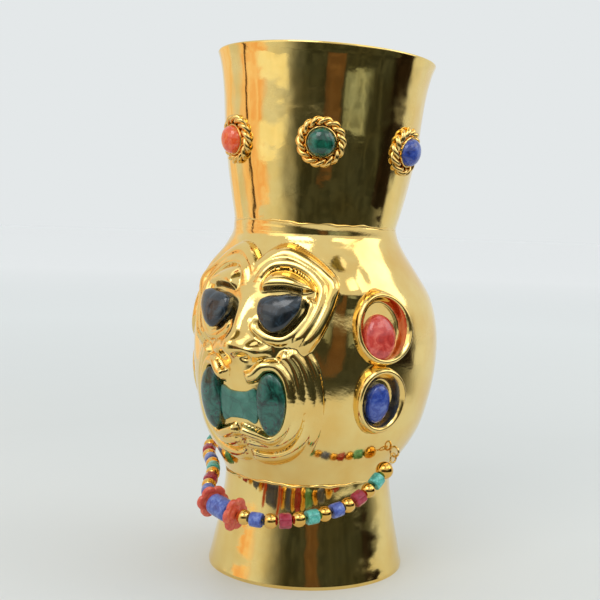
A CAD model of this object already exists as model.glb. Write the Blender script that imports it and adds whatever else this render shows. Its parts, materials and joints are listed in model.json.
# %% [markdown]
# # A gilt head beaker, built piece by piece
# The real object is a souvenir drinking vessel of thin gilt sheet metal: a flared foot, an egg-shaped
# head with a chased mask face, and a tall flared cup.  Stones are set in the face, the ears and round
# the cup, and a stiff string of beads swings from two eyelets.
#
# The measured CAD model is loaded first and never changed.  Every piece below is made in the same
# frame: metres, +Z up, the origin in the middle of the base, and the face towards -Y.

# %% Load the frame
import bpy
import json
import math
import numpy as np
from mathutils import Matrix, Vector


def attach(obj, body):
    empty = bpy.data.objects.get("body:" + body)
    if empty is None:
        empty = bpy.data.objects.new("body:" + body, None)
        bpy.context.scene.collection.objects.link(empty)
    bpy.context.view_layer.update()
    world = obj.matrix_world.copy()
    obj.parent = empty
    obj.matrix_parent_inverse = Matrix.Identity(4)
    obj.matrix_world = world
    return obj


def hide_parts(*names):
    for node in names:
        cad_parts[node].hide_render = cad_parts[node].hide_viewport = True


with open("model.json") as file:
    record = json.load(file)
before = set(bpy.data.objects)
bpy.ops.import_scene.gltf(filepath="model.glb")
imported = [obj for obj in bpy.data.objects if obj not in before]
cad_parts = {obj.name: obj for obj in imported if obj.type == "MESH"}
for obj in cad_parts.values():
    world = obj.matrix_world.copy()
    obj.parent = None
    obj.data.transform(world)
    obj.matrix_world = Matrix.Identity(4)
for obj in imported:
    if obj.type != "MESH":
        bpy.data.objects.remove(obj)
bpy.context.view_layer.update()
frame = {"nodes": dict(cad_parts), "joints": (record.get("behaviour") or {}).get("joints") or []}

MM = 0.001
scene = bpy.context.scene
joints = {joint["name"]: joint for joint in frame["joints"]}

# %% [markdown]
# ## Camera
# The camera stands at the table's edge, with its lens a little above the middle of the object.
# Bearings run from the face's front towards the figure's own left, which is +X.  The camera stands at
# a bearing between the face and its left ear, looks slightly down and is rolled a little.

# %% Camera
CAMERA_BEARING = 32.0
CAMERA_DISTANCE = 0.420
CAMERA_HEIGHT = 0.1358
CAMERA_PITCH = 4.29
CAMERA_ROLL = 1.83
LENS = 63.25
SHIFT = (-0.0212, 0.0033)


def bearing_direction(bearing):
    """The level direction of a bearing in degrees."""
    return np.array([math.sin(math.radians(bearing)), -math.cos(math.radians(bearing)), 0.0])


camera_data = bpy.data.cameras.new("camera")
camera_data.lens = LENS
camera_data.shift_x, camera_data.shift_y = SHIFT
camera_data.clip_start = 0.01
camera = bpy.data.objects.new("camera", camera_data)
scene.collection.objects.link(camera)
turn = Matrix.Rotation(math.radians(CAMERA_BEARING), 4, "Z")
tilt = Matrix.Rotation(math.radians(90.0 - CAMERA_PITCH), 4, "X")
roll = Matrix.Rotation(math.radians(CAMERA_ROLL), 4, "Z")
stand = Vector(bearing_direction(CAMERA_BEARING) * CAMERA_DISTANCE) + Vector((0, 0, CAMERA_HEIGHT))
camera.matrix_world = Matrix.Translation(stand) @ turn @ tilt @ roll
scene.camera = camera
print("camera at", [round(value, 3) for value in stand])

# %% [markdown]
# ## The string
# The beads hang on one stiff wire with its two ends hooked into jump rings.  A wire bends in one smooth
# line, so it is a NURBS curve: its few points steer it and it passes near them without any corner.

# %% String of the necklace
STRING_ROUTE = (
    (41.9, -8.1, 47.5), (41.3, -13.3, 43.6), (39.9, -20.3, 38.4), (36.0, -29.9, 33.6),
    (31.1, -39.9, 31.8), (25.6, -49.0, 31.0), (17.9, -55.0, 30.6), (8.2, -56.7, 30.9),
    (-2.3, -55.2, 32.2), (-11.0, -50.8, 33.6), (-17.5, -42.4, 35.6), (-22.5, -32.7, 38.0),
    (-29.2, -24.6, 39.4), (-36.9, -17.6, 40.4), (-42.6, -8.6, 42.8), (-43.4, -1.4, 45.9),
    (-42.5, 3.6, 47.95),
)
STRING_D = 0.6

string_curve = bpy.data.curves.new("necklace_wire", "CURVE")
string_curve.dimensions = "3D"
string_curve.bevel_depth = 1.0
string_curve.bevel_resolution = 4
string_curve.resolution_u = 16
spline = string_curve.splines.new("NURBS")
spline.points.add(len(STRING_ROUTE) - 1)
for point, place in zip(spline.points, STRING_ROUTE):
    point.co = (*[value * MM for value in place], 1.0)
    point.radius = STRING_D * MM / 2   # a point's radius counts in the curve's box, so it is the real one
spline.order_u = 3
spline.use_endpoint_u = True
necklace_wire = bpy.data.objects.new("necklace_wire", string_curve)
scene.collection.objects.link(necklace_wire)
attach(necklace_wire, "necklace")
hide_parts("necklace_string")
print("string points", len(spline.points))

# %% [markdown]
# ## Colours and node helper
# Colours are written as sRGB hex values, the way a paint chart gives them, and turned to the linear
# values that light is worked out in.  One small function adds a node, sets it and links it; for a
# colour ramp it also lays out the ramp's stops.

# %% Colours and nodes
def colour(code):
    """An sRGB hex colour as linear RGBA."""
    parts = [int(code[place:place + 2], 16) / 255 for place in (1, 3, 5)]
    linear = [part / 12.92 if part <= 0.04045 else ((part + 0.055) / 1.055) ** 2.4 for part in parts]
    return (*linear, 1.0)


def add(tree, kind, inputs=None, stops=(), **settings):
    """Add a node with its settings, input values, links, and (place, hex colour) stops."""
    node = tree.nodes.new(kind)
    if stops:
        elements = node.color_ramp.elements
        while len(elements) < len(stops):
            elements.new(0.5)
        for element, (place, code) in zip(elements, stops):
            element.position = place
            element.color = colour(code)
    for name, value in settings.items():
        setattr(node, name, value)
    for name, value in (inputs or {}).items():
        if isinstance(value, bpy.types.NodeSocket):
            tree.links.new(value, node.inputs[name])
        else:
            node.inputs[name].default_value = value
    return node


def new_material(name):
    """An empty material: its node tree and the place where its pattern is read, in metres."""
    material = bpy.data.materials.new(name)
    material.use_nodes = True
    tree = material.node_tree
    tree.nodes.clear()
    where = add(tree, "ShaderNodeTexCoord").outputs["Object"]
    return material, tree, where


def per_mm(size):
    """The scale of a pattern whose grains are this many millimetres wide."""
    return 1.0 / (size * MM)


print("green chrysocolla in linear light", [round(value, 3) for value in colour("#1c6a5a")])

# %% [markdown]
# ## Gilding
# The vessel is polished brass sheet with a bright, pale gold plating.  A plated metal is a mirror: it
# has hardly any colour pattern of its own, so the eye sees the room in it, tinted.  What makes it look
# hand made is that the mirror is uneven: the sheet ripples a little, and the polish has fine pits.

# %% Gold finishes
def gilt(name, pale, warm, polish, ripple, pits):
    """Gold-plated brass: two tints of plating, a roughness range, and two sizes of unevenness."""
    material, tree, where = new_material(name)
    grains = (("plating", 14.0, 3.0), ("rubbing", 6.0, 5.0), ("hammering", 7.0, 1.0), ("grit", 0.9, 2.0))
    uneven = {what: add(tree, "ShaderNodeTexNoise", {
        "Vector": where, "Scale": per_mm(size), "Detail": detail, "Roughness": 0.55}).outputs["Fac"]
        for what, size, detail in grains}
    tint = add(tree, "ShaderNodeValToRGB", {"Fac": uneven["plating"]}, stops=((0.35, pale), (0.7, warm)))
    wear = add(tree, "ShaderNodeMapRange", {
        "Value": uneven["rubbing"], "To Min": polish[0], "To Max": polish[1]})
    ripples = add(tree, "ShaderNodeBump", {
        "Height": uneven["hammering"], "Strength": 1.0, "Distance": ripple * MM})
    pitted = add(tree, "ShaderNodeBump", {
        "Height": uneven["grit"], "Normal": ripples.outputs["Normal"],
        "Strength": 1.0, "Distance": pits * MM})
    metal = add(tree, "ShaderNodeBsdfPrincipled", {
        "Base Color": tint.outputs["Color"], "Metallic": 1.0, "Roughness": wear.outputs["Result"],
        "Normal": pitted.outputs["Normal"]})
    add(tree, "ShaderNodeOutputMaterial", {"Surface": metal.outputs["BSDF"]})
    return material


gold_sheet = gilt("gilt_brass_sheet_polished", "#f5d98c", "#f0ca74", (0.04, 0.12), 0.16, 0.008)
gold_chased = gilt("gilt_brass_sheet_chased", "#f5d88c", "#f0c774", (0.05, 0.15), 0.12, 0.02)
gold_wire = gilt("gilt_brass_wire_drawn", "#f0cd80", "#e9bb68", (0.08, 0.18), 0.02, 0.01)
gold_bead = gilt("gilt_brass_bead_burnished", "#efc470", "#e7b458", (0.05, 0.12), 0.02, 0.01)
print("gold finishes", [m.name for m in (gold_sheet, gold_chased, gold_wire, gold_bead)])

# %% [markdown]
# ## Stones
# The stones are tumbled and polished cabochons of cheap ornamental stone.  Polished stone is a coloured
# body under a clear gloss, so it shows a cloudy pattern of its own and a small sharp highlight on top.

# %% Stone finishes
def stone(name, stops, grain, gloss=0.12, veins=None, distortion=0.6):
    """Polished stone: clouds of colour with a grain in millimetres, and thin veins if it has them."""
    material, tree, where = new_material(name)
    clouds = add(tree, "ShaderNodeTexNoise", {
        "Vector": where, "Scale": per_mm(grain), "Detail": 6.0, "Roughness": 0.62,
        "Distortion": distortion})
    body = add(tree, "ShaderNodeValToRGB", {"Fac": clouds.outputs["Fac"]}, stops=stops).outputs["Color"]
    if veins:
        vein_colour, vein_size, vein_width = veins
        cells = add(tree, "ShaderNodeTexVoronoi", {
            "Vector": where, "Scale": per_mm(vein_size), "Randomness": 1.0}, feature="DISTANCE_TO_EDGE")
        line = add(tree, "ShaderNodeMapRange", {
            "Value": cells.outputs["Distance"], "From Min": 0.0, "From Max": vein_width,
            "To Min": 1.0, "To Max": 0.0})
        breaks = add(tree, "ShaderNodeTexNoise", {
            "Vector": where, "Scale": per_mm(vein_size * 1.7), "Detail": 3.0, "Roughness": 0.55})
        patchy = add(tree, "ShaderNodeMath", {0: line.outputs["Result"], 1: breaks.outputs["Fac"]},
                     operation="MULTIPLY")
        body = add(tree, "ShaderNodeMix", {
            "Factor": patchy.outputs["Value"], "A": body, "B": colour(vein_colour)},
            data_type="RGBA").outputs["Result"]
    worn = add(tree, "ShaderNodeTexNoise", {
        "Vector": where, "Scale": per_mm(2.5), "Detail": 3.0, "Roughness": 0.55})
    dents = add(tree, "ShaderNodeBump", {
        "Height": worn.outputs["Fac"], "Strength": 1.0, "Distance": 0.03 * MM})
    rubbed = add(tree, "ShaderNodeTexNoise", {
        "Vector": where, "Scale": per_mm(1.2), "Detail": 3.0, "Roughness": 0.55})
    shine = add(tree, "ShaderNodeMapRange", {
        "Value": rubbed.outputs["Fac"], "To Min": gloss, "To Max": gloss * 2})
    polished = add(tree, "ShaderNodeBsdfPrincipled", {
        "Base Color": body, "Roughness": shine.outputs["Result"], "IOR": 1.55, "Coat Weight": 0.4,
        "Coat Roughness": 0.06, "Normal": dents.outputs["Normal"]})
    add(tree, "ShaderNodeOutputMaterial", {"Surface": polished.outputs["BSDF"]})
    return material


eye_stone = stone("sodalite_dark_polished", ((0.3, "#0c1014"), (0.5, "#18222a"), (0.64, "#33424e"),
                                             (0.8, "#1b1e28")), 5.0, distortion=1.4)
mouth_stone = stone("chrysocolla_dark_polished", ((0.34, "#0b2a22"), (0.47, "#15483c"),
                                                  (0.57, "#256555"), (0.66, "#2c2c34")), 6.0,
                    distortion=1.5, veins=("#0c1313", 7.0, 0.08))
bar_stone = stone("chrysocolla_light_polished", ((0.3, "#1f5a4c"), (0.5, "#34705f"), (0.7, "#4c8373")),
                  4.5, veins=("#22352f", 6.0, 0.03))
red_stone = stone("red_agate_polished", ((0.3, "#a82a26"), (0.5, "#cc443a"), (0.65, "#e06a5a"),
                                         (0.8, "#b0302a")), 4.0, distortion=1.2)
blue_stone = stone("sodalite_blue_polished", ((0.3, "#1a2866"), (0.5, "#2e469c"), (0.66, "#5a70b4"),
                                              (0.8, "#223378")), 3.0)
coral = stone("coral_orange_polished", ((0.3, "#d8421e"), (0.5, "#e8592c"), (0.68, "#f08a58"),
                                        (0.82, "#dc4a20")), 3.5, gloss=0.08)
green_stone = stone("chrysocolla_green_polished", ((0.3, "#042a20"), (0.48, "#074a37"),
                                                   (0.64, "#157058"), (0.8, "#063c30")), 3.0,
                    veins=("#021813", 4.0, 0.08))
coral_disc = stone("coral_disc_satin", ((0.3, "#c53a26"), (0.5, "#d95338"), (0.7, "#e67858")), 2.0,
                   gloss=0.3)
blue_bead = stone("sodalite_bead_satin", ((0.3, "#2b3a86"), (0.5, "#4a62b4"), (0.7, "#7d8fc8")), 1.6,
                  gloss=0.25)
turquoise_bead = stone("turquoise_bead_satin", ((0.3, "#2f8d80"), (0.5, "#4fb3a5"), (0.7, "#7fd0c0")),
                       1.8, gloss=0.28, veins=("#2b5a50", 2.5, 0.05))
print("stone finishes", len([m for m in bpy.data.materials if m.name.endswith(("polished", "satin"))]))

# %% [markdown]
# The red beads are faceted glass: light goes into them and comes out again, darker where the glass is
# thick.  Glass of one colour is a shader that lets most of the light through.

# %% Red glass
red_bead, tree, where = new_material("garnet_glass_cut")
swirl = add(tree, "ShaderNodeTexNoise", {
    "Vector": where, "Scale": per_mm(2.0), "Detail": 3.0, "Roughness": 0.55})
red = add(tree, "ShaderNodeValToRGB", {"Fac": swirl.outputs["Fac"]},
          stops=((0.3, "#a8203a"), (0.7, "#d65068")))
rubbed = add(tree, "ShaderNodeTexNoise", {
    "Vector": where, "Scale": per_mm(1.0), "Detail": 3.0, "Roughness": 0.55})
shine = add(tree, "ShaderNodeMapRange", {
    "Value": rubbed.outputs["Fac"], "To Min": 0.06, "To Max": 0.2})
glass = add(tree, "ShaderNodeBsdfPrincipled", {
    "Base Color": red.outputs["Color"], "Roughness": shine.outputs["Result"], "IOR": 1.52,
    "Transmission Weight": 0.45})
add(tree, "ShaderNodeOutputMaterial", {"Surface": glass.outputs["BSDF"]})
print("glass", red_bead.name)
necklace_wire.data.materials.append(gold_wire)

# %% [markdown]
# ## Mesh helpers
# Nearly every piece of this vessel is a ring: a wall that goes round, with an outside and an inside.
# So one function makes a closed ring of points into a mesh, and a second one makes a domed piece, whose
# rings shrink to a point at the top and at the bottom.

# %% Mesh helpers
def grid_faces(rows, columns, round_rows):
    """Four-cornered faces between rings of points; the columns always go round."""
    last = rows if round_rows else rows - 1
    row, column = np.meshgrid(np.arange(last), np.arange(columns), indexing="ij")
    above, beside = (row + 1) % rows, (column + 1) % columns
    corners = (row * columns + column, row * columns + beside, above * columns + beside,
               above * columns + column)
    return np.stack(corners, axis=-1).reshape(-1, 4).tolist()


def piece(name, points, faces, material, body="vessel", nodes=(), slot=None, sharp=35.0):
    """A mesh piece from points in millimetres, which rides a body and stands for CAD nodes."""
    mesh = bpy.data.meshes.new(name)
    mesh.from_pydata((np.asarray(points).reshape(-1, 3) * MM).tolist(), [], faces)
    mesh.validate()
    mesh.shade_smooth()
    mesh.set_sharp_from_angle(angle=math.radians(sharp))
    mesh.materials.append(material)
    made = bpy.data.objects.new(name, mesh)
    scene.collection.objects.link(made)
    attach(made, body)
    if nodes:
        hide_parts(*nodes)
    return made


def ring_piece(name, rings, material, **details):
    """A piece whose rings of points close on themselves both ways."""
    rings = np.asarray(rings)
    return piece(name, rings, grid_faces(rings.shape[0], rings.shape[1], True), material, **details)


def domed_mesh(rings):
    """Points and faces of rings that end in a point at both ends."""
    rings = np.asarray(rings)
    rows, columns = rings.shape[:2]
    points = np.vstack([rings.reshape(-1, 3), rings[0].mean(0), rings[-1].mean(0)])
    faces = grid_faces(rows, columns, False)
    bottom, top = rows * columns, rows * columns + 1
    last_ring = (rows - 1) * columns
    for column in range(columns):
        beside = (column + 1) % columns
        faces.append([bottom, beside, column])
        faces.append([top, last_ring + column, last_ring + beside])
    return points, faces


def smooth_curve(at, knots, values):
    """A smooth line through a few values, read at many places."""
    knots, values = np.asarray(knots, float), np.asarray(values, float)
    slopes = np.gradient(values, knots)
    left = np.clip(np.searchsorted(knots, at) - 1, 0, len(knots) - 2)
    step = knots[left + 1] - knots[left]
    t = (at - knots[left]) / step
    return ((1 + 2 * t) * (1 - t) ** 2 * values[left] + t * (1 - t) ** 2 * step * slopes[left]
            + t * t * (3 - 2 * t) * values[left + 1] + t * t * (t - 1) * step * slopes[left + 1])


def smooth_line(points, steps, closed=False):
    """Many points on a smooth line through a few."""
    points = np.asarray(points, float)
    if closed:
        points = np.vstack([points, points[:1]])
    travelled = np.concatenate([[0], np.cumsum(np.linalg.norm(np.diff(points, axis=0), axis=1))])
    if closed:
        lap = travelled[-1]
        travelled = np.concatenate([travelled[-3:-1] - lap, travelled, travelled[1:3] + lap])
        points = np.vstack([points[-3:-1], points, points[1:3]])
        at = np.linspace(0, lap, steps, endpoint=False)
    else:
        at = np.linspace(0, travelled[-1], steps)
    smoothed = [smooth_curve(at, travelled, points[:, axis]) for axis in range(points.shape[1])]
    return np.stack(smoothed, axis=-1)


def soft_step(value):
    """0 below 0, 1 above 1, and an even rise between."""
    value = np.clip(value, 0, 1)
    return value * value * (3 - 2 * value)


print("helpers ready")

# %% [markdown]
# ## The head's sheet
# The head was raised from sheet and its face chased from both sides.  Its plain body is a stack of
# circles, narrow at the foot and at the cup, whose centres sit a little back.  A smooth curve through
# a few measured circles gives its radius anywhere.

# %% Plain body of the head
SHEET = 1.2
NECK_Z = 37.8
CUP_SEAM_Z = 135.4
CUP_SEAM_R = 31.9
CUP_LEAN = 2.4
LEAN_BEARING = 122.0
HEAD_HEIGHTS = (37.8, 41.0, 45.0, 50.0, 56.0, 68.0, 84.0, 96.0, 108.0, 119.0, 127.5, 131.5, 135.4)
HEAD_RADII = (32.8, 34.4, 36.6, 39.8, 42.9, 46.3, 48.4, 48.1, 45.2, 39.2, 34.5, 32.8, 31.9)
HEAD_SET_BACKS = (0.0, 0.2, 0.4, 1.0, 1.6, 2.4, 3.0, 3.0, 2.6, 1.6, 0.8, 0.4, 0.0)


def head_radius(bearing, height):
    """The plain head's distance from the axis, bearing in degrees and height in millimetres."""
    angle = np.radians(bearing)
    circle = smooth_curve(height, HEAD_HEIGHTS, HEAD_RADII)
    back = smooth_curve(height, HEAD_HEIGHTS, HEAD_SET_BACKS)
    return np.sqrt(circle**2 - (back * np.sin(angle)) ** 2) - back * np.cos(angle)


def around(bearing, radius, height):
    """Points from bearings, distances from the axis and heights."""
    angle = np.radians(bearing)
    places = np.broadcast_arrays(radius * np.sin(angle), -radius * np.cos(angle), height)
    return np.stack(places, axis=-1)


def seam_drop(bearing):
    """How far the leaning cup's seam is above its middle at a bearing."""
    return -CUP_SEAM_R * math.tan(math.radians(CUP_LEAN)) * np.cos(np.radians(bearing - LEAN_BEARING))


def hand_made(bearing, height, size):
    """Slow ripples of hand-worked sheet, a few hundredths of a millimetre to a few tenths."""
    angle = np.radians(bearing)
    return size * (np.sin(3 * angle + 0.9 + height / 23) + 0.7 * np.sin(7 * angle - height / 15)
                   + 0.5 * np.sin(11 * angle + 2.1 + height / 31) + 0.4 * np.sin(5 * angle + height / 8))


print("head radius at its widest", round(float(head_radius(90.0, 88.0)), 1))

# %% [markdown]
# ## The mask face
# Chasing pushes the metal up in rounded ridges with a crisp valley at each side.  So each fold of the
# face is a line across the head, and the metal rises in half a circle on both sides of it.  Larger
# forms, such as the brow over each eye and the muzzle, are filled shapes that rise from their outline.
# The face is drawn for one side and repeated on the other.

# %% Lines and forms of the face
FACE_ARC = math.radians(48.0)   # millimetres along the skin for each degree of bearing

BROW_FOLD = ((-1, 112), (0, 118), (6, 122.5), (15, 124.8), (27, 122.5), (36, 118.5), (41, 114),
             (40, 108), (37, 102), (33, 96), (28.5, 91), (24, 87))
LID_FOLD = ((4, 111), (4, 116), (8, 120), (16, 121.5), (26, 120), (33, 116.5), (36.3, 112.5),
            (36, 108.5), (34.5, 105), (32, 101), (29, 97), (25.5, 93.5), (21, 89.5))
SOCKET_FOLD = ((27, 107.5), (31.5, 106.5), (31, 103.5), (28, 99.8), (24, 96), (19.5, 93.8),
               (13.5, 94.5), (8, 97.5), (6, 102))
LIP_FOLD = ((4, 79.5), (8, 80.5), (12.5, 84), (17, 84.2), (21, 81), (23.3, 75), (23.2, 67), (20, 60),
            (15, 56.5), (8, 58), (0, 60.5))
CHEEK_FOLDS = (
    ((18, 89.5), (23.5, 85), (27, 77), (27.5, 67.5), (24.5, 60), (18, 54.8), (9, 53.8), (0, 55.5)),
    ((21, 91), (28, 84.5), (31.5, 76), (32.3, 68), (30, 58.5), (24, 52), (15, 49), (7, 48.6), (0, 50)),
    ((25, 92), (32, 85), (35.3, 76), (36, 67), (34, 58), (29, 51)),
)
BROW_FORM = ((7, 110), (5.5, 113.5), (9, 118.3), (16, 119.8), (25, 118.3), (31.5, 114.8), (33.5, 111),
             (30, 109.9), (18, 110.6), (11, 110.2))
EYE_OUTLINE = ((7.6, 104.2), (8.2, 107.6), (11.4, 109.2), (17, 109.8), (23, 110.4), (27.2, 109.4),
               (26.8, 105.6), (23.6, 101.2), (19.6, 97.6), (15.6, 96.4), (11.6, 98.0), (8.8, 101.2))
MOUTH_END_OUTLINE = ((9.4, 71), (9.8, 76.5), (12, 80.8), (15.2, 82), (18.8, 80.2), (21.3, 75.6),
                     (22, 70), (21, 64.6), (18.4, 60), (15, 58.6), (11.6, 61.2), (9.9, 65.6))
MOUTH_BAR_OUTLINE = ((-9.8, 72.6), (-8.4, 75.8), (-4.5, 74.6), (0, 74.2), (4.5, 74.6), (8.4, 75.8),
                     (9.8, 72.6), (9.8, 66.4), (8.4, 62.8), (4.5, 63.9), (0, 64.2), (-4.5, 63.9),
                     (-8.4, 62.8), (-9.8, 66.4))


def on_skin(points):
    """Bearings and heights as millimetres along the skin."""
    points = np.array(points, float)
    points[:, 0] *= FACE_ARC
    return points


def distance_to(line, along, height):
    """The distance in the skin from every place to a line, and how far along the line it is."""
    near = np.full(along.shape, 1e9)
    share = np.zeros(along.shape)
    for step, (at_along, at_height) in enumerate(line):
        away = (along - at_along) ** 2 + (height - at_height) ** 2
        closer = away < near
        near[closer] = away[closer]
        share[closer] = step / (len(line) - 1)
    return np.sqrt(near), share


def fold(points, rise, half_width, fade=0.12):
    """A half-round ridge along a line, which sinks away at its two ends."""
    line = smooth_line(on_skin(points), 90)

    def shape(along, height):
        away, share = distance_to(line, along, height)
        round_top = np.sqrt(np.clip(1 - (away / half_width) ** 2, 0, 1))
        return rise * round_top * soft_step(share / fade) * soft_step((1 - share) / fade)
    return shape


def inside(outline, along, height):
    """Which places lie inside an outline."""
    result = np.zeros(along.shape, bool)
    for (x0, y0), (x1, y1) in zip(outline, np.roll(outline, -1, axis=0)):
        if y0 == y1:
            continue
        crosses = (y0 > height) != (y1 > height)
        result ^= crosses & (along < x0 + (height - y0) * (x1 - x0) / (y1 - y0))
    return result


def form(points, rise, edge):
    """A filled shape that rises from its outline over an edge width."""
    outline = smooth_line(on_skin(points), 120, closed=True)

    def shape(along, height):
        away, _ = distance_to(outline, along, height)
        signed = np.where(inside(outline, along, height), away, -away)
        return rise * np.sin(soft_step(signed / edge) * math.pi / 2)
    return shape


def mound(bearing, height_at, half_along, half_up, rise, power=1.0):
    """A smooth rounded swelling, or a dent where the rise is negative."""
    def shape(along, height):
        far = ((along - bearing * FACE_ARC) / half_along) ** 2 + ((height - height_at) / half_up) ** 2
        return rise * np.exp(-far**power)
    return shape


SWELLINGS = (
    mound(0, 103, 27, 19, 3.6, 2.0),        # the brow and eyes stand forward
    mound(0, 71, 20, 15, 4.4, 1.6),         # muzzle
    mound(0, 84.5, 13, 6.5, 2.2),           # upper lip
    mound(0, 56, 17, 7, 1.6),               # chin
    mound(0, 97, 4.2, 9, 3.2),              # bridge of the nose
    mound(0, 91, 5.6, 4.6, 5.6, 1.3),       # tip of the nose
    mound(9.5, 89.5, 3.6, 3.2, 3.4, 1.4),   # wing of the nose
    mound(4.6, 87.6, 1.8, 1.3, -2.6),       # nostril
    mound(17, 104, 11, 8.5, -1.8, 1.5),     # eye socket
    mound(50, 115, 9.5, 8, 3.0, 1.4),       # temple
    mound(41, 97, 5, 14, -0.8),             # hollow between brow and ear
    mound(0, 130.5, 60, 2.4, -0.7),         # crease of the forehead
    mound(0, 119, 5, 7, -1.2),              # dip between the brows
)
RIDGES = (
    fold(BROW_FOLD, 2.6, 2.7), fold(LID_FOLD, 2.2, 2.3), fold(SOCKET_FOLD, 1.7, 2.0),
    fold(LIP_FOLD, 3.4, 2.4, fade=0.04), fold(CHEEK_FOLDS[0], 2.6, 2.5, fade=0.06),
    fold(CHEEK_FOLDS[1], 2.1, 2.4, fade=0.06), fold(CHEEK_FOLDS[2], 1.2, 2.4, fade=0.2),
    form(BROW_FORM, 3.6, 5.0),
)


def relief(bearing, height):
    """How far the chased metal stands off the plain head, in millimetres."""
    raised = np.zeros(np.broadcast(bearing, height).shape)
    ridges = np.zeros(raised.shape)
    for side in (1, -1):
        along = side * bearing * FACE_ARC + 0 * height
        level = height + 0 * bearing
        swell = sum(shape(along, level) for shape in SWELLINGS)
        raised += np.where(side * bearing >= 0, swell, 0)
        for shape in RIDGES:
            ridges = np.maximum(ridges, shape(along, level))
    return raised + ridges


print("face lines", len(RIDGES), "and swellings", len(SWELLINGS))

# %% Head
FACE_HALF = 96.0        # the face's side of the head has closer columns than the plain back
bearings = np.concatenate([np.linspace(-FACE_HALF, FACE_HALF, 400),
                           np.linspace(FACE_HALF, 360 - FACE_HALF, 57)[1:-1]])
nominal = np.linspace(0, 1, 205)[:, None]
nominal_heights = NECK_Z + nominal * (CUP_SEAM_Z - NECK_Z)
wrapped = np.where(bearings > 180, bearings - 360, bearings)[None, :]
standing_off = relief(wrapped, nominal_heights) + hand_made(wrapped, nominal_heights, 0.07)
near_a_seam = soft_step((nominal_heights - NECK_Z) / 5) * soft_step((CUP_SEAM_Z - nominal_heights) / 4)
outer_radius = head_radius(wrapped, nominal_heights) + standing_off * near_a_seam
lift = seam_drop(wrapped) * soft_step((nominal_heights - 105) / 30)
head_outside = around(wrapped, outer_radius, nominal_heights + lift)
inner_nominal = np.linspace(1, 0, 24)[:, None]
inner_heights = NECK_Z + inner_nominal * (CUP_SEAM_Z - NECK_Z)
ease = np.sin(inner_nominal * math.pi)
inner_radius = head_radius(wrapped, inner_heights) - SHEET - 1.6 * ease
inner_lift = seam_drop(wrapped) * soft_step((inner_heights - 105) / 30)
head_inside = around(wrapped, inner_radius, inner_heights + inner_lift)
head = ring_piece("head_chased_mask", np.concatenate([head_outside, head_inside]), gold_chased,
                  nodes=("head_shell",), slot="gold_sheet", sharp=80)
print("head points", len(head.data.vertices))
print("highest relief", round(float(standing_off.max()), 1), "mm")

# %% [markdown]
# ## Foot and cup
# Both are plain flared walls, spun or hammered over a form.  The foot curves out to its base; the cup
# opens upwards, leans a little, and ends in a rim that is turned out.  Ripples in the wall are what
# break up their long reflections.

# %% Foot
FOOT_HEIGHTS = (1.2, 4.0, 10.0, 18.0, 26.0, 32.0, 37.8)
FOOT_RADII = (38.8, 38.1, 36.85, 35.2, 33.9, 33.15, 32.8)
all_round = np.linspace(0, 360, 240, endpoint=False)[None, :]

foot_heights = np.linspace(FOOT_HEIGHTS[0], NECK_Z, 60)[:, None]
foot_radius = smooth_curve(foot_heights, FOOT_HEIGHTS, FOOT_RADII)
foot_ripple = hand_made(all_round, foot_heights, 0.05) * soft_step((foot_heights - 2) / 8)
foot_outside = around(all_round, foot_radius + foot_ripple, foot_heights)
foot_inside = around(all_round, foot_radius[::-1] - SHEET, foot_heights[::-1])
foot = ring_piece("foot_flared", np.concatenate([foot_outside, foot_inside]), gold_sheet,
                  nodes=("foot_shell",), slot="gold_sheet")
frame["nodes"]["base_plate"].data.materials.clear()
frame["nodes"]["base_plate"].data.materials.append(gold_sheet)
print("foot points", len(foot.data.vertices))

# %% Cup
CUP_HEIGHTS = (0.0, 9.0, 17.6, 26.0, 34.6, 43.0, 51.6, 58.0, 61.5, 63.6)
CUP_RADII = (31.9, 33.9, 35.6, 37.0, 38.2, 38.9, 39.8, 40.9, 41.8, 42.6)
RIM_R = 0.6
lean = math.radians(CUP_LEAN)
cup_up = bearing_direction(LEAN_BEARING) * math.sin(lean) + np.array([0, 0, math.cos(lean)])
cup_right = np.array([1.0, 0, 0]) - cup_up * cup_up[0]
cup_right /= np.linalg.norm(cup_right)
cup_away = np.cross(cup_up, cup_right)
cup_turn = np.stack([cup_right, cup_away, cup_up], axis=-1)


def lean_with_cup(points):
    """Points of the upright cup, moved to where the leaning cup stands."""
    return np.asarray(points) @ cup_turn.T + np.array([0, 0, CUP_SEAM_Z])


cup_rows = np.linspace(0, CUP_HEIGHTS[-1], 110)[:, None]
cup_radius = smooth_curve(cup_rows, CUP_HEIGHTS, CUP_RADII)
streaks = 0.018 * np.sin(np.radians(all_round) * 37 + cup_rows / 9) \
    + 0.02 * np.sin(np.radians(all_round) * 23 - cup_rows / 13)
cup_ripple = (hand_made(all_round, cup_rows, 0.07) + streaks) * soft_step(cup_rows / 6)
cup_outside = around(all_round, cup_radius + cup_ripple, cup_rows)
rim_turn = np.linspace(-30, 210, 9)[:, None]
rim_middle = CUP_RADII[-1] - RIM_R
cup_rim = around(all_round, rim_middle + RIM_R * np.cos(np.radians(rim_turn)),
                 CUP_HEIGHTS[-1] + 0.3 + RIM_R * np.sin(np.radians(rim_turn)))
cup_inside = around(all_round, cup_radius[::-3] - SHEET, cup_rows[::-3])
cup = ring_piece("cup_flared", lean_with_cup(np.concatenate([cup_outside, cup_rim, cup_inside])),
                 gold_sheet, nodes=("cup_shell",), slot="gold_sheet")
print("cup rim at", round(max(v.co.z for v in cup.data.vertices) / MM, 1), "mm")

# %% [markdown]
# ## Solder seams
# Cup, head and foot are three sheets soldered together.  The solder was filed down and gilt over, so
# each seam is a thin bead whose width wanders.  A wandering ring is enough, and it hides the joint.

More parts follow.
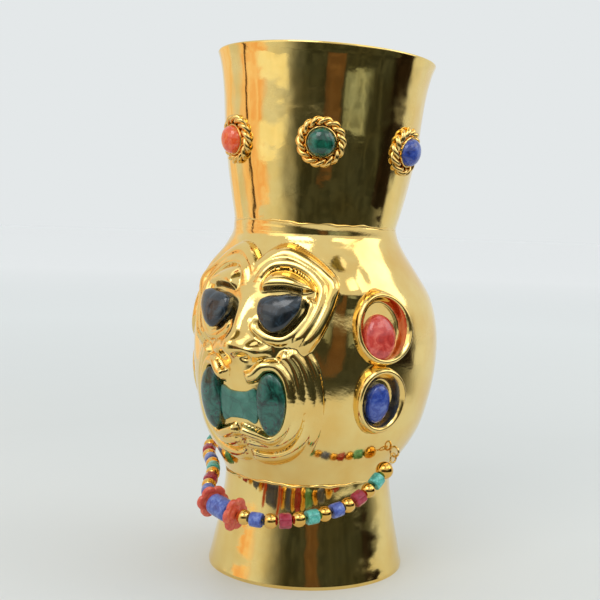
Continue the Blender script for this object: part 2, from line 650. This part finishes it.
# %% Solder seams
def solder_seam(name, radius, height, size, leaning):
    """A thin uneven ring of solder round a seam."""
    section = np.linspace(0, 360, 10, endpoint=False)[:, None]
    angle = np.radians(all_round)
    wander = size * (1 + 0.3 * np.sin(angle * 9) + 0.25 * np.sin(angle * 17 + 1))
    climb = height + 0.25 * np.sin(angle * 5 + 2) + 0.2 * np.sin(angle * 12) + 0.15 * np.sin(angle * 29)
    ring = around(all_round, radius + wander * np.cos(np.radians(section)),
                  climb + wander * np.sin(np.radians(section)))
    if leaning:
        ring = lean_with_cup(ring)
    return ring_piece(name, ring, gold_chased, slot="gold_sheet", sharp=80)


NECK_SEAM_R = FOOT_RADII[-1] - 0.05
solder_seam("neck_solder_seam", NECK_SEAM_R, NECK_Z, size=0.55, leaning=False)
solder_seam("cup_solder_seam", CUP_SEAM_R - 0.05, 0.1, size=0.38, leaning=True)
print("seams made")

# %% [markdown]
# ## Ears
# Each ear is a separate chased strip: two round lobes, each with a raised frame round a dished pocket
# that holds a stone.  The frame stands higher towards the back, so the pocket opens forwards.  It is
# easiest to draw as a height over the skin that depends on the distance from the ear's edge.

# %% Ears
EAR_BEARINGS = {"left": 63.5, "right": -83.5}              # the right ear sits further back
EAR_LOBES = ((98.8, 11.0, 14.0), (72.3, 9.4, 13.2))       # height, half width, half height
EAR_ROUNDING = 1.5       # width over which the outer wall rounds over
POCKET_EDGE = 1.7        # how far inside the outline the pocket starts to fall
POCKET_SLOPE = 2.2
EAR_EDGE_RISE = 5.4
EAR_TILT = 0.16
POCKET_RISE = 1.2
UNDER_SKIN = -1.4


def ear_edge(along, height):
    """How far inside the ear's outline a place is, in millimetres."""
    best = np.full(along.shape, -1e9)
    for middle, half_width, half_height in EAR_LOBES:
        far = np.sqrt((along / half_width) ** 2 + ((height - middle) / half_height) ** 2)
        best = np.maximum(best, (1 - far) * min(half_width, half_height))
    return best


def ear_rise(along, height):
    """The ear's height over the skin: outer wall, round frame, then the dished pocket."""
    edge = ear_edge(along, height)
    top = EAR_EDGE_RISE + EAR_TILT * along
    climb = np.sqrt(np.clip(1 - (1 - np.clip(edge / EAR_ROUNDING, 0, 1)) ** 2, 0, 1))
    fall = soft_step((edge - POCKET_EDGE) / POCKET_SLOPE)
    dish = POCKET_RISE + 0.05 * along
    wall = UNDER_SKIN + (top - UNDER_SKIN) * climb
    return np.where(edge <= 0, UNDER_SKIN, wall * (1 - fall) + dish * fall)


def patch_piece(name, outside, inside_points, keep, material, **details):
    """A closed piece from two matching grids of points: only the cells marked keep are made."""
    rows, columns = outside.shape[:2]
    count = rows * columns
    faces, edges = [], {}
    for row, column in zip(*np.nonzero(keep)):
        corner = row * columns + column
        loop = [corner, corner + 1, corner + columns + 1, corner + columns]
        faces += [loop, [count + index for index in reversed(loop)]]
        for start, end in zip(loop, loop[1:] + loop[:1]):
            if (end, start) in edges:
                del edges[(end, start)]
            else:
                edges[(start, end)] = True
    faces += [[end, start, count + start, count + end] for start, end in edges]
    used = sorted({index for face in faces for index in face})
    renumber = {old: new for new, old in enumerate(used)}
    points = np.vstack([outside.reshape(-1, 3), inside_points.reshape(-1, 3)])[used]
    faces = [[renumber[index] for index in face] for face in faces]
    return piece(name, points, faces, material, **details)


ear_along = np.linspace(-12.5, 12.5, 66)[None, :]
ear_heights = np.linspace(57.5, 114.5, 150)[:, None]
for side, side_name in ((1, "left"), (-1, "right")):
    ear_bearings = EAR_BEARINGS[side_name] + side * ear_along / FACE_ARC
    skin = head_radius(ear_bearings, ear_heights)
    rise = ear_rise(ear_along + 0 * ear_heights, ear_heights + 0 * ear_along)
    edge = ear_edge(ear_along + 0 * ear_heights, ear_heights + 0 * ear_along)
    near = edge > -1.0
    cells = near[:-1, :-1] & near[1:, :-1] & near[:-1, 1:] & near[1:, 1:]
    outside = around(ear_bearings, skin + rise, ear_heights)
    inside_points = around(ear_bearings, skin + UNDER_SKIN - 0.6, ear_heights)
    if side < 0:
        outside, inside_points = outside[::-1], inside_points[::-1]
        cells = cells[::-1]
    patch_piece("ear_frame_" + side_name, outside, inside_points, cells, gold_chased,
                nodes=("ear_" + side_name,), slot="gold_sheet", sharp=60)
print("ears made")

# %% [markdown]
# ## Stones of the face and ears
# A cabochon is a flat-backed stone with a domed top, cut to an outline.  The outline is drawn on the
# head, and rings inside it climb to the middle like the top of a cushion.  The back goes down into the
# metal, so that no gap shows.

# %% Stones on the head
DOME_END = 86            # the last ring's climb in degrees; a point closes the rest


def cut_stone(name, outline, material, nodes, slot, seat, rise, sink, belly=0.75):
    """A domed stone over an outline of bearings and heights; seat is how high its edge stands."""
    edge = smooth_line(outline, 72, closed=True)
    middle = edge.mean(0)
    climbs = np.radians(np.linspace(0, DOME_END, 15))
    steps = [(0.94, -sink), (1.0, -sink * 0.4)] + [
        (math.cos(climb), rise * math.sin(climb) ** belly) for climb in climbs]
    rings = []
    for share, over in steps:
        bearing, height = (middle + (edge - middle) * share).T
        rings.append(around(bearing, head_radius(bearing, height) + seat + over, height))
    points, faces = domed_mesh(rings)
    return piece(name, points, faces, material, nodes=nodes, slot=slot, sharp=50)


def oval(bearing, height, half_along, half_up):
    """An oval outline, its half sizes in millimetres along the skin."""
    return [(bearing + half_along / FACE_ARC * math.cos(math.radians(turned)),
             height + half_up * math.sin(math.radians(turned))) for turned in range(0, 360, 30)]


def mirrored(outline, side):
    """The outline on the figure's left (1) or right (-1), drawn the same way round."""
    if side > 0:
        return list(outline)
    return [(-bearing, height) for bearing, height in reversed(outline)]


for side, side_name in ((1, "left"), (-1, "right")):
    cut_stone("eye_cabochon_" + side_name, mirrored(EYE_OUTLINE[::-1], side), eye_stone,
              ("eye_stone_" + side_name,), "eye_stone", seat=4.2, rise=2.8, sink=4.5)
    cut_stone("mouth_cabochon_" + side_name, mirrored(MOUTH_END_OUTLINE[::-1], side), mouth_stone,
              ("mouth_end_" + side_name,), "mouth_stone", seat=4.6, rise=2.6, sink=4.5)
    ear_middle = EAR_BEARINGS[side_name]
    upper = oval(ear_middle - side * 1.6, 95.2, 6.2, 8.6)
    lower = oval(ear_middle - side * 0.6, 71.2, 4.5, 7.5)
    cut_stone("ear_cabochon_upper_" + side_name, upper, red_stone,
              ("ear_stone_upper_" + side_name,), "red_stone", seat=2.0, rise=4.2, sink=2.0)
    cut_stone("ear_cabochon_lower_" + side_name, lower, blue_stone,
              ("ear_stone_lower_" + side_name,), "blue_stone", seat=2.0, rise=3.4, sink=2.0)
cut_stone("mouth_bar_stone", MOUTH_BAR_OUTLINE[::-1], bar_stone, ("mouth_bar",), "mouth_stone",
          seat=4.4, rise=1.0, sink=4.0, belly=0.35)
print("stones on the head made")

# %% [markdown]
# ## Settings round the cup
# Six round cabochons sit in plain collars, and each collar has a ring of twisted wire soldered round
# it.  Twisted wire is two strands that wind about each other, so it is made as just that, and bent to
# follow the round wall of the cup.

# %% Settings on the cup
SETTINGS = (
    ("coral_cabochon_front", -25.0, coral, "coral"),
    ("green_cabochon_front_left", 32.0, green_stone, "green_stone"),
    ("blue_cabochon_left", 89.5, blue_stone, "blue_stone"),
    ("coral_cabochon_back", 149.5, coral, "coral"),
    ("green_cabochon_back_right", 212.0, green_stone, "green_stone"),
    ("blue_cabochon_right", 274.5, blue_stone, "blue_stone"),
)
SETTING_HEIGHT = 29.6
SETTING_RADIUS = 37.44
WALL_SLOPE = 0.153
CABOCHON_R = 5.2
CABOCHON_RISE = 3.8
CABOCHON_SEAT = 2.4
COLLAR_R = 5.85
COLLAR_HEIGHT = 2.4
ROPE_R = 7.6
STRAND_R = 0.95
STRAND_OFFSET = 0.8
ROPE_TURNS = 7


def at_setting(bearing, local):
    """Points given as right, up and outwards at a setting, moved to the cup's skin there."""
    local = np.asarray(local, float)
    outward = bearing_direction(bearing)
    normal = outward - np.array([0, 0, WALL_SLOPE])
    normal /= np.linalg.norm(normal)
    right = np.cross([0, 0, 1.0], outward)
    up = np.cross(normal, right)
    origin = outward * SETTING_RADIUS + np.array([0, 0, SETTING_HEIGHT])
    bent = local[..., 2] - local[..., 0] ** 2 / (2 * SETTING_RADIUS)
    placed = origin + local[..., :1] * right + local[..., 1:2] * up + bent[..., None] * normal
    return lean_with_cup(placed)


def tube(path, radius, sides=10):
    """Rings of points round a closed path, one row for each side of the tube."""
    ahead = np.roll(path, -1, axis=0) - np.roll(path, 1, axis=0)
    ahead /= np.linalg.norm(ahead, axis=1)[:, None]
    flat = path - path.mean(0)
    across = np.cross(ahead, flat)
    across /= np.linalg.norm(across, axis=1)[:, None]
    outward = np.cross(across, ahead)
    turned = np.radians(np.linspace(0, 360, sides, endpoint=False))[:, None, None]
    return path + radius * (np.cos(turned) * outward + np.sin(turned) * across)


collar_profile = ((COLLAR_R, -1.4), (COLLAR_R, 1.7), (COLLAR_R - 0.1, 2.2),
                  (COLLAR_R - 0.35, COLLAR_HEIGHT), (COLLAR_R - 0.62, 2.3), (COLLAR_R - 0.66, 2.0),
                  (COLLAR_R - 0.6, 0.6), (COLLAR_R - 0.6, -1.4))
dome_profile = [(0.9, 0.4), (1.0, 0.9), (1.0, CABOCHON_SEAT)] + [
    (math.cos(c), CABOCHON_SEAT + CABOCHON_RISE * math.sin(c) ** 0.9)
    for c in np.radians(np.arange(8, 88, 8))]
ring_turn = np.radians(np.linspace(0, 360, 64, endpoint=False))
rope_turn = np.radians(np.linspace(0, 360, 264, endpoint=False))
for name, bearing, material, slot in SETTINGS:
    short = name.replace("_cabochon", "")
    collar = [[(radius * math.cos(t), radius * math.sin(t), out) for t in ring_turn]
              for radius, out in collar_profile]
    ring_piece("collar_" + short, at_setting(bearing, collar), gold_wire, slot="gold_wire")
    dome = [[(CABOCHON_R * share * math.cos(t), CABOCHON_R * share * math.sin(t), out)
             for t in ring_turn] for share, out in dome_profile]
    points, faces = domed_mesh(at_setting(bearing, dome))
    piece("stone_" + short, points, faces, material, nodes=(name,), slot=slot, sharp=60)
    for strand in (0, 1):
        wind = rope_turn * ROPE_TURNS + strand * math.pi
        reach = ROPE_R + STRAND_OFFSET * np.cos(wind)
        path = np.stack([reach * np.cos(rope_turn), reach * np.sin(rope_turn),
                         0.95 + STRAND_OFFSET * np.sin(wind)], axis=-1)
        ring_piece(f"rope_{short}_strand_{strand + 1}", at_setting(bearing, tube(path, STRAND_R)),
                   gold_wire, slot="gold_wire", sharp=80)
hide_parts("bezel_cups")
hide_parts("rope_rings")
print("settings made", len(SETTINGS))

# %% [markdown]
# ## Eyelets and jump rings
# Each end of the string hooks into a small jump ring that turns in an eyelet below the ear.  Both are
# plain round wire, and the CAD has their true shape, so those nodes stay and only get their finish.

# %% Eyelets and jump rings
for name in ("eyelet_left", "eyelet_right", "jump_ring_left", "jump_ring_right"):
    node = frame["nodes"][name]
    node.data.materials.clear()
    node.data.materials.append(gold_wire)
    node.data.shade_smooth()
print("eyelets and rings finished")

# %% [markdown]
# ## Beads
# Every bead spins on the string, so each one is its own piece on its own body.  The frame's joints say
# where each bead sits and which way its bore runs.  A bead is a profile turned round that line: hollow
# gilt balls, short stone drums, cut glass, one large drum in the middle and a flower disc on each side.

# %% Beads
GOLD_BEAD_R = 2.75
END_BEAD_R = 3.3
DRUM_R = 2.6
DRUM_LENGTH = 4.5
GLASS_R = 2.8
CENTRE_R = 3.9
CENTRE_LENGTH = 10.2
BORE_R = 0.7
CENTRE_BORE_R = 1.1
DISC_R = 5.3


def on_bore(name, local):
    """Points round and along a bead's bore, moved to where the bead hangs."""
    joint = joints[name + "_spin"]
    along = Vector(joint["axis"]).normalized()
    right = Vector((0, 0, 1)).cross(along).normalized()
    up = along.cross(right)
    turn = np.array([right, up, along]).T
    return np.asarray(local, float) @ turn.T + np.array(joint["pos_m"]) / MM


def turned(profile, around_it, shape=None):
    """Rings of points from a profile of (radius, place along the bore); shape varies the radius."""
    rings = []
    for radius, along in profile:
        scaled = radius * (np.ones(around_it.shape) if shape is None or radius <= BORE_R else shape)
        rings.append(np.stack([scaled * np.cos(around_it), scaled * np.sin(around_it),
                               np.full(around_it.shape, along)], axis=-1))
    return rings


def ball_profile(radius, bore):
    start = math.asin(bore / radius)
    angles = np.linspace(start, math.pi - start, 25)
    return [(radius * math.sin(a), -radius * math.cos(a)) for a in angles]


def drum_profile(radius, length, bore, edge):
    half = length / 2
    corner = [(radius - edge + edge * math.sin(a), half - edge + edge * math.cos(a))
              for a in np.radians([0, 22, 45, 68, 90])]
    belly = [(radius + 0.06, share * half) for share in (0.4, 0.0, -0.4)]
    top = [(bore, half - 0.15)] + corner
    return (top + belly + [(r, -h) for r, h in reversed(top)])[::-1]


def bead(name, profile, material, slot, steps=48, shape=None, sharp=35.0):
    """A bead turned round its bore, on its own body."""
    turn = np.radians(np.linspace(0, 360, steps, endpoint=False))
    rings = on_bore(name, turned(profile, turn, shape(turn) if shape else None))
    return ring_piece("bead_" + name.replace("_bead", ""), rings, material, body=name + "_body",
                      nodes=(name,), slot=slot, sharp=sharp)


def eight_sides(turn):
    """The radius of an octagon with softened corners, for a circle of radius 1 round it."""
    step = math.pi / 4
    off_flat = (turn + step / 2) % step - step / 2
    return np.minimum(math.cos(step / 2) / np.cos(off_flat), 0.985)


def six_petals(turn):
    """A scalloped edge of six petals."""
    return 1.0 + 0.19 * np.abs(np.cos(3 * turn)) ** 0.7 - 0.03


for side_name in ("left", "right"):
    for number in range(1, 7):
        bead(f"gold_bead_{side_name}_{number}", ball_profile(GOLD_BEAD_R, BORE_R), gold_bead,
             "gold_bead")
    bead(f"gold_bead_{side_name}_7", ball_profile(END_BEAD_R, BORE_R), gold_bead, "gold_bead")
    for number in (1, 2):
        for kind, material in (("blue", blue_bead), ("turquoise", turquoise_bead)):
            bead(f"{kind}_bead_{side_name}_{number}", drum_profile(DRUM_R, DRUM_LENGTH, BORE_R, 0.5),
                 material, kind + "_bead")
        bead(f"red_bead_{side_name}_{number}", drum_profile(GLASS_R, DRUM_LENGTH, BORE_R, 0.7),
             red_bead, "red_bead", steps=64, shape=eight_sides, sharp=25.0)
    disc_face = [(BORE_R, 0.9), (2.6, 1.0), (3.2, 0.72), (4.0, 0.95), (4.9, 0.9), (DISC_R, 0.45)]
    disc = [(radius, -out) for radius, out in disc_face] + disc_face[::-1]
    bead("flower_disc_" + side_name, disc, coral_disc, "coral_disc", steps=96, shape=six_petals)
bead("centre_bead", drum_profile(CENTRE_R, CENTRE_LENGTH, CENTRE_BORE_R, 1.0), blue_bead, "blue_bead")

# %% [markdown]
# ## Floor, lights and cards
# A mirror-like object shows whatever stands round it, so the room is lit rather than the gold.
# It stands on pale paper.  Curved cards with soft edges stand all round: dark ones on the camera's
# side draw the deep olive and brown shapes, warm ones on its right cheek draw the orange, and white
# ones draw the highlights.  The cards are seen only in reflections.

# %% Floor and room
paper, tree, where = new_material("paper_matt")
away = add(tree, "ShaderNodeVectorMath", {0: where}, operation="LENGTH").outputs["Value"]
far = add(tree, "ShaderNodeMapRange", {"Value": away, "From Min": 0.3, "From Max": 2.4})
tone = add(tree, "ShaderNodeValToRGB", {"Fac": far.outputs["Result"]},
           stops=((0.0, "#d9dbd9"), (0.35, "#eef0ef"), (1.0, "#ffffff")))
fibres = add(tree, "ShaderNodeTexNoise", {
    "Vector": where, "Scale": per_mm(40.0), "Detail": 3.0, "Roughness": 0.55})
matt = add(tree, "ShaderNodeMapRange", {
    "Value": fibres.outputs["Fac"], "To Min": 0.55, "To Max": 0.7})
sheet_of_paper = add(tree, "ShaderNodeBsdfPrincipled", {
    "Base Color": tone.outputs["Color"], "Roughness": matt.outputs["Result"],
    "Specular IOR Level": 0.25})
add(tree, "ShaderNodeOutputMaterial", {"Surface": sheet_of_paper.outputs["BSDF"]})

FLOOR_R = 12.0
FLOOR_SIDES = 72
floor_turn = np.radians(np.arange(0, 360, 360 / FLOOR_SIDES))
floor_points = [(0, 0, 0)] + [(FLOOR_R * math.sin(t), FLOOR_R * math.cos(t), 0) for t in floor_turn]
floor_faces = [(0, 1 + (k + 1) % FLOOR_SIDES, 1 + k) for k in range(FLOOR_SIDES)]
floor_mesh = bpy.data.meshes.new("paper_floor")
floor_mesh.from_pydata(floor_points, [], floor_faces)
floor_mesh.materials.append(paper)
floor = bpy.data.objects.new("paper_floor", floor_mesh)
scene.collection.objects.link(floor)

world = bpy.data.worlds.new("pale_room")
world.use_nodes = True
world.node_tree.nodes["Background"].inputs["Color"].default_value = colour("#e4e8e9")
world.node_tree.nodes["Background"].inputs["Strength"].default_value = 1.0
scene.world = world
print("floor and room made")

# %% Cards seen in the gold
CARDS = (   # name, bearings from the camera's own, heights, distances, colours, strength
    ("dark_front", (-60, 112), (0.004, 0.21), (0.47, 0.47), ("#363930", "#4c5047"), 0.85),
    ("dark_table", (-60, 118), (0.002, 0.002), (0.49, 0.20), ("#363930", "#4c5047"), 0.85),
    ("brown_stripe", (0, 18), (0.004, 0.20), (0.465, 0.465), ("#5c4632", "#765b43"), 0.9),
    ("grey_patch", (17, 52), (0.09, 0.17), (0.463, 0.463), ("#7f8a86", "#b1c0be"), 0.85),
    ("pale_patch", (-80, -38), (0.09, 0.17), (0.462, 0.462), ("#f4f4e4", "#fffef0"), 1.1),
    ("black_window", (68, 104), (0.002, 0.18), (0.45, 0.46), ("#1c1612", "#2c2420"), 0.9),
    ("white_front_left", (-74, -24), (0.24, 0.52), (0.50, 0.50), ("#fffaf2", "#ffffff"), 1.6),
    ("orange_side", (-112, -60), (0.004, 0.40), (0.50, 0.50), ("#f0b98a", "#f8dcbc"), 1.1),
    ("dark_line", (-97, -92), (0.004, 0.36), (0.49, 0.49), ("#3a2410", "#4a3018"), 0.8),
    ("orange_far", (-150, -118), (0.01, 0.34), (0.52, 0.52), ("#f0cfa0", "#f6e0c0"), 1.1),
    ("white_top_right", (26, 66), (0.38, 0.62), (0.50, 0.40), ("#ffffff", "#fffdf6"), 2.4),
    ("olive_ceiling", (-70, 60), (0.80, 0.80), (0.02, 0.34), ("#2c220c", "#b0a468"), 0.8),
)


def lit(name, codes, strength):
    """A card's own light, clouded between two colours."""
    material, tree, where = new_material(name)
    mottle = add(tree, "ShaderNodeTexNoise", {
        "Vector": where, "Scale": per_mm(60.0), "Detail": 4.0, "Roughness": 0.55})
    cloud = add(tree, "ShaderNodeValToRGB", {"Fac": mottle.outputs["Fac"]},
                stops=((0.38, codes[0]), (0.62, codes[1])))
    glow = add(tree, "ShaderNodeEmission", {"Color": cloud.outputs["Color"], "Strength": strength})
    clear = add(tree, "ShaderNodeBsdfTransparent")
    soft_edge = add(tree, "ShaderNodeAttribute", attribute_name="soft_edge").outputs["Fac"]
    faded = add(tree, "ShaderNodeMixShader", {
        "Fac": soft_edge, 1: clear.outputs["BSDF"], 2: glow.outputs["Emission"]})
    add(tree, "ShaderNodeOutputMaterial", {"Surface": faded.outputs["Shader"]})
    return material


CARD_ROWS = 17
CARD_COLUMNS = 33
across_card = np.linspace(0, 1, CARD_COLUMNS)[None, :]
up_card = np.linspace(0, 1, CARD_ROWS)[:, None]


for name, bearing_span, height_span, distance_span, codes, strength in CARDS:
    turn = np.linspace(*bearing_span, CARD_COLUMNS) + CAMERA_BEARING
    rows = [around(turn, distance, level)
            for distance, level in zip(np.linspace(*distance_span, CARD_ROWS),
                                       np.linspace(*height_span, CARD_ROWS))]
    card_faces = [face for face in grid_faces(CARD_ROWS, CARD_COLUMNS, False)
                  if face[0] % CARD_COLUMNS != CARD_COLUMNS - 1]
    card_mesh = bpy.data.meshes.new("card_" + name)
    card_mesh.from_pydata(np.reshape(rows, (-1, 3)).tolist(), [], card_faces)
    soft = soft_step(np.minimum(across_card, 1 - across_card) / 0.22)
    soft = soft * soft_step(np.minimum(up_card + 0.2, 1 - up_card) / 0.2)
    card_mesh.attributes.new("soft_edge", "FLOAT", "POINT").data.foreach_set("value", soft.ravel())
    card_mesh.materials.append(lit("card_light_" + name, codes, strength))
    card = bpy.data.objects.new("card_" + name, card_mesh)
    scene.collection.objects.link(card)
    card.visible_camera = False
    card.visible_diffuse = False
    card.visible_shadow = False
    card.visible_transmission = False
print("cards", len(CARDS))

# %% Soft lights
LIGHTS = (   # name, bearing, height, distance, size, watts
    ("key_softbox", 5.0, 0.85, 0.75, 0.50, 2.4),
    ("fill_softbox", 120.0, 0.7, 0.9, 0.60, 1.6),
    ("top_softbox", 200.0, 1.3, 0.3, 0.90, 1.5),
)
for name, bearing, height, distance, size, watts in LIGHTS:
    lamp = bpy.data.lights.new(name, "AREA")
    lamp.size = size
    lamp.energy = watts
    stand = Vector(bearing_direction(bearing) * distance) + Vector((0, 0, height))
    holder = bpy.data.objects.new(name, lamp)
    holder.matrix_world = Matrix.Translation(stand) @ \
        (Vector((0, 0, 0.1)) - stand).to_track_quat("-Z", "Y").to_matrix().to_4x4()
    scene.collection.objects.link(holder)
scene.view_settings.view_transform = "Standard"
print("lights", len(LIGHTS))

# %% [markdown]
# ## Sizes and the end
# The box of the finished model is kept beside the CAD's box, to show that the looks did not change the
# size.


print("size written")
